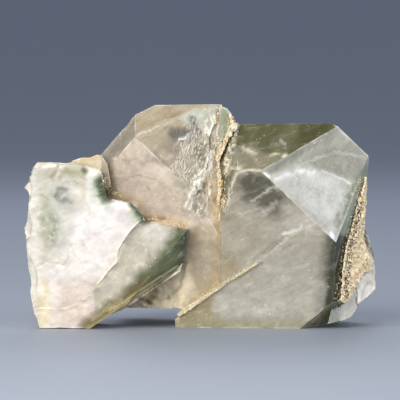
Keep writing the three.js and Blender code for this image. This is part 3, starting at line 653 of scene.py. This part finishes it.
def coverage(x, h, mark):
    # How far a mark covers each point, from 0 to 1
    if "area" in mark:
        edge = distanceTo(x, h, mark["area"], closed=True)
        edge[inside(x, h, mark["area"])] *= -1
        return eased(0.5 - edge / mark["soft"])
    return eased((mark["wide"] / 2 - distanceTo(x, h, mark["path"])) / mark["soft"] + 0.5)


def noiseAt(points, scale, seed, octaves=1):
    # Smooth noise between about -1 and 1, with features of scale mm
    shift = Vector((seed * 17.3, seed * -9.1, seed * 5.7))  # far enough for seeds to differ
    if octaves == 1:
        return np.array([noise.noise(Vector(p) / scale + shift) for p in points])
    # each octave is 2.1 times as fine as the one before, and fainter by the power of 0.7
    return np.array([noise.fractal(Vector(p) / scale + shift, 0.7, 2.1, octaves) for p in points])


def findOwners(centres, normals):
    # The crystal and the flat face that each small face belongs to
    deep = centres - skinDepth * normals
    x, h = frontView(deep)

    def beyond(name):
        normal, point = growthPlanes[name]
        return (deep - np.array(point)) @ np.array(normal) > 0

    crystals = np.full(len(deep), "middle", dtype="<U8")
    lower = (x > growthPlaces["arch"]) & (deep[:, 2] < growthPlaces["lowerTop"]) & ~beyond("lowerTop")
    crystals[(x > growthPlaces["seam"]) | lower] = "big"
    crystals[beyond("brokenSide") & (x > growthPlaces["rear"])] = "rear"
    crystals[inside(x, h, whiteOutline) & ~beyond("whiteBack")] = "white"
    faces = np.full(len(deep), "", dtype="<U16")
    for name, normal in faceNormals.items():
        alike = normals @ (np.array(normal) / np.linalg.norm(normal)) > flatMatch
        faces[alike & np.char.startswith(name, crystals)] = name
    return crystals, faces


def onMark(mark, crystals, faces, normals):
    # Which places a mark may touch: those of its flat face, or those of its crystal that don't face the back
    where = mark["on"]
    if where in faceNormals:
        return faces == where
    return (normals[:, 1] < turning["back"]) & ((crystals == where) | (where == "all"))


def paint(points, crystals, faces, normals, warps):
    # Colour, haze, roughness and flecks of every place, from the looks and then from the marks
    tint = np.zeros((len(points), 3))
    haze, rough, fleck = np.zeros(len(points)), np.zeros(len(points)), np.zeros(len(points))
    for name, (colour, cloud, sheen) in looks.items():
        here = faces == name if name in faceNormals else crystals == name
        tint[here], haze[here], rough[here] = linear(colour), cloud, sheen
    x, h = frontView(points)
    turned = np.clip((normals[:, 1] - turning["start"]) / turning["run"], 0, 1)
    turned *= normals[:, 1] < turning["back"]
    for mark in marks:
        where = np.flatnonzero(onMark(mark, crystals, faces, normals))
        ragged = mark["ragged"] + turning["ragged"] * turned[where]
        warpedX, warpedH = x[where] + ragged * warps[0][where], h[where] + ragged * warps[1][where]
        amount = coverage(warpedX, warpedH, mark) * mark["amount"] * (1 - turning["fade"] * turned[where])
        if "patchy" in mark:
            amount = amount * eased((warps[2][where] + patchLevel) / mark["patchy"] + 0.5)
        near = amount > 0.002  # less wouldn't show
        where, amount = where[near], amount[near]
        tint[where] += (np.array(linear(mark["colour"])) - tint[where]) * amount[:, None]
        for name, values in (("haze", haze), ("rough", rough), ("fleck", fleck)):
            if name in mark:
                values[where] += (mark[name] - values[where]) * amount
    return tint, haze, rough, fleck


def cutQuartz(plan):
    # The cluster's own solid cut into small even faces, and which of its corners are on sharp edges
    mesh = bmesh.new()
    mesh.from_mesh(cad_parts["quartz_cluster"].data)
    bmesh.ops.remove_doubles(mesh, verts=mesh.verts, dist=weldReach)
    bmesh.ops.dissolve_limit(
        mesh, angle_limit=math.radians(plan["flatAngle"]), verts=mesh.verts, edges=mesh.edges)
    low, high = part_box("quartz_cluster")
    fine, coarse = plan["fineStep"] * mm, plan["coarseStep"] * mm
    for axis, a, b in ((Vector((1, 0, 0)), low.x, high.x), (Vector((0, 0, 1)), low.z, high.z)):
        front = [f for f in mesh.faces if f.normal.y < plan["frontTurn"]]
        sliced(mesh, front, axis, a, fine, math.ceil((b - a) / fine))
        rest = [f for f in mesh.faces if f.normal.y >= plan["frontTurn"]]
        sliced(mesh, rest, axis, a, coarse, math.ceil((b - a) / coarse))
    sides = [f for f in mesh.faces if f.normal.y >= plan["frontTurn"] and abs(f.normal.y) < plan["sideTurn"]]
    sliced(mesh, sides, Vector((0, 1, 0)), low.y, coarse, math.ceil((high.y - low.y) / coarse))
    bmesh.ops.triangulate(mesh, faces=mesh.faces)
    for edge in mesh.edges:
        edge.smooth = edge.calc_face_angle(0) < math.radians(plan["sharpAngle"])
    for face in mesh.faces:
        face.smooth = True
    mesh.verts.index_update()
    worn = np.zeros(len(mesh.verts))
    for edge in mesh.edges:
        if edge.is_convex and not edge.smooth:
            worn[[v.index for v in edge.verts]] = 1
    data = bpy.data.meshes.new("quartz")
    mesh.to_mesh(data)
    mesh.free()
    return data, worn


def readArray(items, name, width, kind=float):
    values = np.zeros(len(items) * width, kind)
    items.foreach_get(name, values)
    return values.reshape(-1, width)


def storeColours(data, name, domain, colours):
    layer = data.attributes.new(name, "FLOAT_COLOR", domain)
    filled = np.column_stack([colours, np.ones(len(colours))])
    layer.data.foreach_set("color", filled.astype(np.float32).ravel())


def smoothed(points, edges, step):
    # Evens out the white crystal's front along a line, place by place with its neighbours
    x, h = frontView(points)
    chosen = (coverage(x, h, step) > 0.5) & (points[:, 1] < 0)
    ends = np.concatenate([edges, edges[:, ::-1]])
    ends = ends[chosen[ends[:, 0]]]
    shares = np.bincount(ends[:, 0], minlength=len(points))[:, None]
    for _ in range(step["times"]):
        total = np.zeros_like(points)
        np.add.at(total, ends[:, 0], points[ends[:, 1]])
        points[chosen] = 0.5 * points[chosen] + 0.5 * total[chosen] / shares[chosen]
    return points


def roughened(points, pointNormals, corners, owners, normals):
    # Broken surfaces get their waves and ridges, always inwards
    x, h = frontView(points)
    along = np.array(seamRun)
    for relief in reliefs:
        touched = np.zeros(len(points), bool)
        touched[corners[np.repeat(onMark(relief, *owners, normals), 3)]] = True
        amount = coverage(x, h, relief) * touched
        here = np.flatnonzero(amount > 0.01)
        stretched = points[here] - np.outer(points[here] @ along, along) * (1 - 1 / relief["longer"])
        waves = np.clip(noiseAt(stretched, relief["scale"], 7, 4), -1, 1)
        valleys = np.abs(waves) if "ridged" in relief else 0.5 - 0.5 * waves
        depth = relief["depth"] * amount[here] * valleys
        points[here] -= pointNormals[here] * depth[:, None]
    return points


def makeQuartz(plan):
    data, worn = cutQuartz(plan)
    quartz = bpy.data.objects.new("quartz", data)
    bpy.context.scene.collection.objects.link(quartz)
    points, pointNormals = readArray(data.vertices, "co", 3) / mm, readArray(data.vertices, "normal", 3)
    centres, normals = readArray(data.polygons, "center", 3) / mm, readArray(data.polygons, "normal", 3)
    corners = readArray(data.loops, "vertex_index", 1, int)[:, 0]
    owners = findOwners(centres, normals)

    small, large = plan["warpSizes"]
    warps = [noiseAt(points, small, 1) + noiseAt(points, large, 2),
             noiseAt(points, small, 3) + noiseAt(points, large, 4),
             noiseAt(points, plan["patchSize"], 5, 3)]
    tint, haze, rough, fleck = paint(
        points[corners], *(np.repeat(names, 3) for names in owners), np.repeat(normals, 3, axis=0),
        [warp[corners] for warp in warps])
    rubbed = (worn * eased(0.5 + 1.1 * noiseAt(points, plan["wearPatch"], 6)))[corners]
    rubbed *= np.clip(3 * tint.mean(axis=1), 0.1, 1)  # dark glassy edges hardly show it
    tint += (np.array(linear(plan["wearColour"])) - tint) * (plan["wear"] * rubbed)[:, None]
    haze += (1 - haze) * plan["wear"] * rubbed
    storeColours(data, "tint", "CORNER", tint)
    storeColours(data, "look", "CORNER", np.column_stack([haze, rough, fleck]))

    edges = readArray(data.edges, "vertices", 2, int)
    for step in wornSteps:
        points = smoothed(points, edges, step)
    points = roughened(points, pointNormals, corners, owners, normals)
    data.vertices.foreach_set("co", (points * mm).ravel())
    data.update()
    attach(quartz, "root")
    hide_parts("quartz_cluster")
    print("quartz has", len(data.polygons), "triangles")
    return quartz


# Cloudy quartz: clear silica with veils of tiny bubbles, so part of the light goes through
# and part is scattered back near the surface. Natural faces are glassy, broken ones are satin.
cloudyQuartz = {
    "ior": 1.544,  # typical of quartz
    "absorbColour": "#D6D6B4",  # faintly olive in depth
    "absorbDensity": 22,  # per metre
    "cloudSize": 3.5,  # mm
    "wispSize": 2.6,  # mm across a wisp
    "wispLonger": 2.6,  # times as long as it is wide
    "wispLean": 33,  # degrees that the wisps and streaks climb to the right
    "wispColour": "#E9E6DC",
    "streakSize": 0.7,  # mm across a streak
    "streakLonger": 9,
    "speckSize": 1.3,  # mm between white specks
    "speckColour": "#F4F1E8",
    "grainSize": 0.7,  # mm, coarser than the real growth hillocks so that it shows
    "grainDepth": 0.12,  # mm
    "ridgeSize": 0.75,  # mm across the ridges of a healed crack
    "ridgeDepth": 0.5,  # mm
    "ridgeLonger": 2.6,
    "ridgeLean": 16,  # degrees that they lean to the right
    "glowReach": 3,  # mm that light spreads inside the whitest quartz
    "glowShares": (1, 0.95, 0.85),  # of that reach, for red, green and blue
}


def makeQuartzMaterial(plan):
    material, tree = newMaterial("cloudyQuartz")
    tint = addNode(tree, "ShaderNodeVertexColor", (-9, 0), {"layer_name": "tint"})
    look = addNode(tree, "ShaderNodeVertexColor", (-9, 2), {"layer_name": "look"})
    parts = addNode(tree, "ShaderNodeSeparateColor", (-8, 2), links={"Color": look.outputs["Color"]})
    haze, rough, fleck = (parts.outputs[name] for name in ("Red", "Green", "Blue"))
    where = addNode(tree, "ShaderNodeTexCoord", (-11, 4)).outputs["Object"]
    wispTurn = (0, -math.radians(plan["wispLean"]), 0)

    # Clouds make the body's colour lighter and darker
    clouds = addNode(tree, "ShaderNodeTexNoise", (-9, 4), {
        "Scale": 1 / (plan["cloudSize"] * mm), "Detail": 5, "Roughness": 0.62, "Distortion": 0.6}, {
        "Vector": where})
    shade = addNode(tree, "ShaderNodeMapRange", (-8, 4), {
        "From Min": 0.3, "From Max": 0.7, "To Min": 0.84, "To Max": 1.12}, {"Value": clouds.outputs["Fac"]})
    toned = addNode(tree, "ShaderNodeVectorMath", (-7, 0), {"operation": "MULTIPLY"}, {
        "0": tint.outputs["Color"], "1": shade.outputs[0]})

    # Leaning wisps and fine streaks
    lean = addNode(tree, "ShaderNodeMapping", (-10, 6), {
        "vector_type": "TEXTURE", "Rotation": wispTurn, "Scale": (plan["wispLonger"], 1, 1)}, {
        "Vector": where})
    wisps = addNode(tree, "ShaderNodeTexNoise", (-9, 6), {
        "Scale": 1 / (plan["wispSize"] * mm), "Detail": 6, "Roughness": 0.66, "Distortion": 1.2}, {
        "Vector": lean.outputs[0]})
    wispy = addNode(tree, "ShaderNodeMapRange", (-8, 6), {
        "From Min": 0.5, "From Max": 0.85, "To Min": 0, "To Max": 0.34}, {"Value": wisps.outputs["Fac"]})
    drawn = addNode(tree, "ShaderNodeMapping", (-10, 7), {
        "vector_type": "TEXTURE", "Rotation": wispTurn, "Scale": (plan["streakLonger"], 1, 1)}, {
        "Vector": where})
    streaks = addNode(tree, "ShaderNodeTexNoise", (-9, 7), {
        "Scale": 1 / (plan["streakSize"] * mm), "Detail": 3, "Roughness": 0.7}, {"Vector": drawn.outputs[0]})
    streaky = addNode(tree, "ShaderNodeMapRange", (-8, 7), {
        "From Min": 0.3, "From Max": 0.7, "To Min": 0.92, "To Max": 1.08}, {"Value": streaks.outputs["Fac"]})
    lined = addNode(tree, "ShaderNodeVectorMath", (-6, 1), {"operation": "MULTIPLY"}, {
        "0": toned.outputs[0], "1": streaky.outputs[0]})
    veiled = addNode(tree, "ShaderNodeMix", (-6, 0), {
        "data_type": "RGBA", "blend_type": "MIX", "7": (*linear(plan["wispColour"]), 1)}, {
        "0": wispy.outputs[0], "6": lined.outputs[0]})

    # White specks, only where the clouds are thick
    cells = addNode(tree, "ShaderNodeTexVoronoi", (-9, 8), {
        "Scale": 1 / (plan["speckSize"] * mm)}, {"Vector": where})
    specks = addNode(tree, "ShaderNodeMapRange", (-8, 8), {
        "From Min": 0.16, "From Max": 0.08, "To Min": 0, "To Max": 1}, {"Value": cells.outputs["Distance"]})
    patches = addNode(tree, "ShaderNodeMapRange", (-8, 9), {
        "From Min": 0.5, "From Max": 0.62, "To Min": 0, "To Max": 0.6}, {"Value": clouds.outputs["Fac"]})
    speckled = addNode(tree, "ShaderNodeMath", (-7, 8), {"operation": "MULTIPLY"}, {
        "0": specks.outputs[0], "1": patches.outputs[0]})
    colour = addNode(tree, "ShaderNodeMix", (-5, 0), {
        "data_type": "RGBA", "7": (*linear(plan["speckColour"]), 1)}, {
        "0": speckled.outputs[0], "6": veiled.outputs[2]})

    # What is hazy, wispy or speckled lets less light through, and the whitest quartz glows
    thicker = addNode(tree, "ShaderNodeMath", (-6, 3), {"operation": "MAXIMUM"}, {
        "0": wispy.outputs[0], "1": speckled.outputs[0]})
    clouded = addNode(tree, "ShaderNodeMath", (-5, 3), {"operation": "MULTIPLY_ADD", "1": 0.5}, {
        "0": thicker.outputs[0], "2": haze})
    clear = addNode(tree, "ShaderNodeMath", (-4, 3), {"operation": "SUBTRACT", "use_clamp": True, "0": 1.0}, {
        "1": clouded.outputs[0]})
    glow = addNode(tree, "ShaderNodeMapRange", (-4, 4), {
        "From Min": 0.8, "From Max": 1, "To Min": 0, "To Max": 0.4}, {"Value": haze})

    # Growth hillocks all over, and the ridges of healed cracks where the flecks are
    grain = addNode(tree, "ShaderNodeTexNoise", (-9, 10), {
        "Scale": 1 / (plan["grainSize"] * mm), "Detail": 3, "Roughness": 0.6}, {"Vector": where})
    fine = addNode(tree, "ShaderNodeBump", (-5, 10), {"Strength": 0.25, "Distance": plan["grainDepth"] * mm}, {
        "Height": grain.outputs["Fac"]})
    along = addNode(tree, "ShaderNodeMapping", (-10, 12), {
        "vector_type": "TEXTURE", "Rotation": (0, math.radians(plan["ridgeLean"]), 0),
        "Scale": (1, 1, plan["ridgeLonger"])}, {"Vector": where})
    ridges = addNode(tree, "ShaderNodeTexVoronoi", (-9, 12), {
        "feature": "DISTANCE_TO_EDGE", "Scale": 1 / (plan["ridgeSize"] * mm)}, {"Vector": along.outputs[0]})
    broken = addNode(tree, "ShaderNodeMath", (-7, 12), {"operation": "MULTIPLY"}, {
        "0": ridges.outputs["Distance"], "1": fleck})
    relief = addNode(tree, "ShaderNodeBump", (-4, 11), {"Strength": 0.8, "Distance": plan["ridgeDepth"] * mm}, {
        "Height": broken.outputs[0], "Normal": fine.outputs[0]})

    surface = addNode(tree, "ShaderNodeBsdfPrincipled", (0, 0), {
        "IOR": plan["ior"], "Subsurface Scale": plan["glowReach"] * mm,
        "Subsurface Radius": plan["glowShares"]}, {
        "Base Color": colour.outputs[2], "Roughness": rough, "Transmission Weight": clear.outputs[0],
        "Subsurface Weight": glow.outputs[0], "Normal": relief.outputs[0]})
    volume = addNode(tree, "ShaderNodeVolumeAbsorption", (0, 3), {
        "Color": (*linear(plan["absorbColour"]), 1), "Density": plan["absorbDensity"]})
    addNode(tree, "ShaderNodeOutputMaterial", (1, 0), links={
        "Surface": surface.outputs[0], "Volume": volume.outputs[0]})
    return material


quartz = makeQuartz(quartzPlan)
quartz.data.materials.append(makeQuartzMaterial(cloudyQuartz))


# Crust
crustPlans = {
    "crust_right": {
        "seed": 3, "ground": "#F0DDBA", "sink": 0.25,  # mm that the ground lies below the grains
        "grains": 5400, "size": (0.08, 0.22),  # mm, half the width of the finest and the coarsest
        "spilled": 1700, "spillReach": 0.75,  # mm round the crust that loose grains lie on the quartz
        "colours": ("#F8EDD6", "#F1E1C3", "#E8D3AD", "#FAF3E4", "#D9BB8F", "#B3956A")},
    "crust_seam": {
        "seed": 5, "ground": "#CBB894", "sink": 0.45,
        "grains": 1700, "size": (0.1, 0.22),
        "spilled": 700, "spillReach": 0.4,
        "colours": ("#E9DEC4", "#DACAA6", "#C9AE7E", "#EFE6D0", "#A98450", "#80623A")},
    "crust_foot": {
        "seed": 8, "ground": "#C2B594", "sink": 0.5,
        "grains": 1000, "size": (0.08, 0.17),
        "spilled": 260, "spillReach": 0.3,
        "spine": ((-5, 3.6), (15.6, 16.6)), "thinning": 0.6,  # from the arch to the thin end, in mm
        "colours": ("#DDD3BC", "#CFC2A2", "#C2B08A", "#DCD3C0", "#A8906A", "#857355")},
}
crumbShares = (0.26, 0.24, 0.18, 0.18, 0.09, 0.05)  # of the six colours of each crust

crustShape = {
    "step": 0.5,  # mm between the cuts in the ground
    "waveSize": 0.9,  # mm across its waves
    "waveDepth": 0.3,  # mm
    "toneSize": 1.4,  # mm across its lighter and darker patches
    "tone": 0.35,  # how much lighter or darker they are
    "clearance": 1.2,  # mm: grains that face quartz nearer than this would never be seen
    "squash": (0.65, 1.15),  # a crumb's size along each axis, as shares of its own size
    "dent": (0.85, 1.15),  # how far in or out each of its corners is
    "turn": 6.28,  # radians, the most that a crumb turns
    "trailSpread": 3.2,  # a trail is this many times as wide as its grains' usual distance from its line
    "sight": 0.2,  # m in front of the cluster where the lines of sight start
}

# Crumbs of crust that lie on the quartz beside each crust, along lines seen from the front
trails = {
    "crust_right": [
        {"path": [(41, 37), (39.6, 30), (38, 22), (36.4, 14), (35.6, 6)], "wide": 1.2, "grains": 260},
        # dark crumbs: painted shade standing for the holes in the crust
        {"path": [(40, 31), (39, 26), (37.4, 19), (36.6, 12), (36.4, 7)], "wide": 1.6, "grains": 600,
         "size": (0.1, 0.26), "colours": ("#3B3222", "#54472E", "#7A6744")},
    ],
    "crust_seam": [
        {"path": [(7.6, 52.5), (8.6, 50.4), (7.4, 48)], "wide": 1.6, "grains": 200},
        {"path": [(6.6, 47), (4.8, 42), (4.6, 38.6), (5.6, 34), (5.8, 29)], "wide": 1, "grains": 420},
        {"path": [(8.5, 50), (7.8, 47.4), (7, 44.6), (6.4, 42), (6, 40)], "wide": 1.1, "grains": 300,
         "size": (0.35, 0.85), "colours": ("#A8A288", "#C8C2AA", "#8F8B70", "#D8CDB0")},
        {"path": [(4.2, 54), (4.2, 51)], "wide": 0.8, "grains": 90,
         "colours": ("#A88657", "#C2A87C", "#7D6240")},
        {"path": [(5.3, 37), (5.8, 32.4)], "wide": 0.6, "grains": 160,
         "colours": ("#9A7440", "#7A5A30", "#B9975E")},
        {"path": [(-24.2, 37), (-23.4, 34), (-21, 33.2), (-19.6, 32.8)], "wide": 0.9, "grains": 130},
        {"path": [(-14, 26.8), (-9, 26.2), (-3.4, 24.8)], "wide": 0.7, "grains": 170},
    ],
    "crust_foot": [
        {"path": [(-5, 2.6), (0, 6.6), (4.6, 10)], "wide": 1.6, "grains": 420},
        {"path": [(4.6, 10), (9.6, 13.4), (15.2, 16.4)], "wide": 0.7, "grains": 160},
    ],
}


def crumb():
    # The points and faces of a twenty-sided crumb of radius 1
    mesh = bmesh.new()
    bmesh.ops.create_icosphere(mesh, subdivisions=1, radius=1)
    points = np.array([v.co[:] for v in mesh.verts])
    faces = np.array([[v.index for v in f.verts] for f in mesh.faces])
    mesh.free()
    return points, faces


def thinned(vert, spine, thinning):
    # Draws the crust's ribbon in towards its spine, more and more along its run
    (ax, ah), (bx, bh) = spine
    t = min(max((vert.co.x / mm - ax) / (bx - ax), 0), 1)
    middle = (ah + (bh - ah) * t - vert.co.y / mm * math.sin(viewTilt)) / math.cos(viewTilt) * mm
    vert.co.z += (middle - vert.co.z) * thinning * t


def crustGround(name, plan):
    # The crust's own solid, wavy and sunk below its grains: points in mm, faces, areas and normals
    mesh = bmesh.new()
    mesh.from_mesh(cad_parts[name].data)
    bmesh.ops.remove_doubles(mesh, verts=mesh.verts, dist=weldReach)
    low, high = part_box(name)
    step = crustShape["step"] * mm
    for axis, a, b in ((Vector((1, 0, 0)), low.x, high.x), (Vector((0, 0, 1)), low.z, high.z),
                       (Vector((0, 1, 0)), low.y, high.y)):
        sliced(mesh, list(mesh.faces), axis, a, step, math.ceil((b - a) / step))
    bmesh.ops.triangulate(mesh, faces=mesh.faces)
    mesh.normal_update()
    for vert in mesh.verts:
        wave = noise.fractal(vert.co / (crustShape["waveSize"] * mm), 0.8, 2.1, 3)
        vert.co -= vert.normal * (plan["sink"] + crustShape["waveDepth"] * wave) * mm
        if "spine" in plan:
            thinned(vert, plan["spine"], plan["thinning"])
    mesh.normal_update()
    points = np.array([v.co[:] for v in mesh.verts]) / mm
    faces = np.array([[v.index for v in f.verts] for f in mesh.faces])
    areas = np.array([f.calc_area() for f in mesh.faces])
    normals = np.array([f.normal[:] for f in mesh.faces])
    mesh.free()
    return points, faces, areas, normals


def alongTrail(trail, solid, chance):
    # Where a trail's grains, seen from the front, meet the quartz or the crust
    found = []
    path = np.array(trail["path"])
    lengths = np.hypot(*np.diff(path, axis=0).T)
    sight = Vector((0, math.cos(viewTilt), -math.sin(viewTilt)))
    for _ in range(trail["grains"]):
        leg = chance.choice(len(lengths), p=lengths / lengths.sum())
        across, up = path[leg] + (path[leg + 1] - path[leg]) * chance.random()
        spread = chance.normal(0, trail["wide"] / crustShape["trailSpread"], 2)
        start = Vector((across + spread[0], 0, (up + spread[1]) / math.cos(viewTilt))) * mm
        hit = solid.ray_cast(start - sight * crustShape["sight"], sight, 2 * crustShape["sight"])
        if hit[0] is not None:
            found.append(np.array(hit[0]) / mm)
    return found


def strew(name, plan, ground, chance):
    # Places, colours and sizes of the crumbs: all over the crust, round its edge and along the trails
    points, faces, areas, normals = ground
    shares = areas / areas.sum()
    places = []
    for index in chance.choice(len(areas), plan["grains"], p=shares):
        place = chance.dirichlet((1, 1, 1)) @ points[faces[index]]
        hit = quartzTree.ray_cast(Vector(place) * mm, Vector(normals[index]), crustShape["clearance"] * mm)
        if hit[0] is None:
            places.append(place)
    for index in chance.choice(len(areas), plan["spilled"], p=shares):
        place = points[faces[index][0]] + chance.normal(0, plan["spillReach"], 3)
        places.append(np.array(quartzTree.find_nearest(Vector(place) * mm)[0]) / mm)

    def drawSizes(low, high, count):
        return list(low + (high - low) * chance.random(count) ** 2)

    shades = list(chance.choice(plan["colours"], len(places), p=crumbShares))
    sizes = drawSizes(*plan["size"], len(places))
    solid = BVHTree.FromPolygons(
        [v.co for v in quartz.data.vertices] + [Vector(p) * mm for p in points],
        [p.vertices[:] for p in quartz.data.polygons] + (faces + len(quartz.data.vertices)).tolist())
    for trail in trails[name]:
        found = alongTrail(trail, solid, chance)
        places += found
        if "colours" in trail:
            shades += list(chance.choice(trail["colours"], len(found)))
        else:
            shades += list(chance.choice(plan["colours"], len(found), p=crumbShares))
        sizes += drawSizes(*trail.get("size", plan["size"]), len(found))
    return places, shades, sizes


def makeCrust(name, plan):
    chance = np.random.default_rng(plan["seed"])
    ground = crustGround(name, plan)
    places, shades, sizes = strew(name, plan, ground, chance)
    corners, crumbFaces = crumb()
    shells, shellFaces = [ground[0]], [ground[1]]
    count = len(ground[0])
    for index, (place, size) in enumerate(zip(places, sizes)):
        turn = np.array(Matrix.Rotation(chance.random() * crustShape["turn"], 3, Vector(chance.normal(size=3))))
        shape = corners * size * chance.uniform(*crustShape["squash"], 3)
        shape = shape * chance.uniform(*crustShape["dent"], (len(corners), 1))
        shells.append(shape @ turn + place)
        shellFaces.append(crumbFaces + count + index * len(corners))
    low, high = (np.array(corner) / mm for corner in cadBox)
    points = np.clip(np.concatenate(shells), low, high)
    data = bpy.data.meshes.new(name + "_grains")
    data.from_pydata(points * mm, [], np.concatenate(shellFaces).tolist())
    tone = noiseAt(ground[0], crustShape["toneSize"], 2, 2)[:, None]
    tint = np.array(linear(plan["ground"])) * (1 + crustShape["tone"] * tone)
    crumbTint = np.repeat([linear(str(shade)) for shade in shades], len(corners), axis=0)
    storeColours(data, "tint", "POINT", np.concatenate([tint, crumbTint]))
    piece = bpy.data.objects.new(name + "_grains", data)
    bpy.context.scene.collection.objects.link(piece)
    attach(piece, "root")
    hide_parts(name)
    print(name, "has", len(data.polygons), "triangles")
    return piece


# Iron-stained grit: clay and fine quartz grains, dry and dull, with no gloss to speak of
ironStainedGrit = {
    "ior": 1.5,
    "roughness": 0.82,
    "gritSize": 0.6,  # mm, coarser than the real clay so that it shows
    "gritDepth": 0.15,  # mm
}


def makeCrustMaterial(plan):
    material, tree = newMaterial("ironStainedGrit")
    tint = addNode(tree, "ShaderNodeVertexColor", (-4, 0), {"layer_name": "tint"})
    where = addNode(tree, "ShaderNodeTexCoord", (-6, 2)).outputs["Object"]
    grit = addNode(tree, "ShaderNodeTexNoise", (-4, 2), {
        "Scale": 1 / (plan["gritSize"] * mm), "Detail": 4}, {"Vector": where})
    shade = addNode(tree, "ShaderNodeMapRange", (-3, 2), {
        "From Min": 0.3, "From Max": 0.7, "To Min": 0.78, "To Max": 1.15}, {"Value": grit.outputs["Fac"]})
    colour = addNode(tree, "ShaderNodeVectorMath", (-2, 0), {"operation": "MULTIPLY"}, {
        "0": tint.outputs["Color"], "1": shade.outputs[0]})
    relief = addNode(tree, "ShaderNodeBump", (-2, 3), {"Strength": 0.5, "Distance": plan["gritDepth"] * mm}, {
        "Height": grit.outputs["Fac"]})
    surface = addNode(tree, "ShaderNodeBsdfPrincipled", (0, 0), {
        "Roughness": plan["roughness"], "IOR": plan["ior"]}, {
        "Base Color": colour.outputs[0], "Normal": relief.outputs[0]})
    addNode(tree, "ShaderNodeOutputMaterial", (1, 0), links={"Surface": surface.outputs[0]})
    return material


grit = makeCrustMaterial(ironStainedGrit)
quartzTree = BVHTree.FromPolygons(
    [v.co for v in quartz.data.vertices], [p.vertices for p in quartz.data.polygons])
for name, plan in crustPlans.items():
    makeCrust(name, plan).data.materials.append(grit)
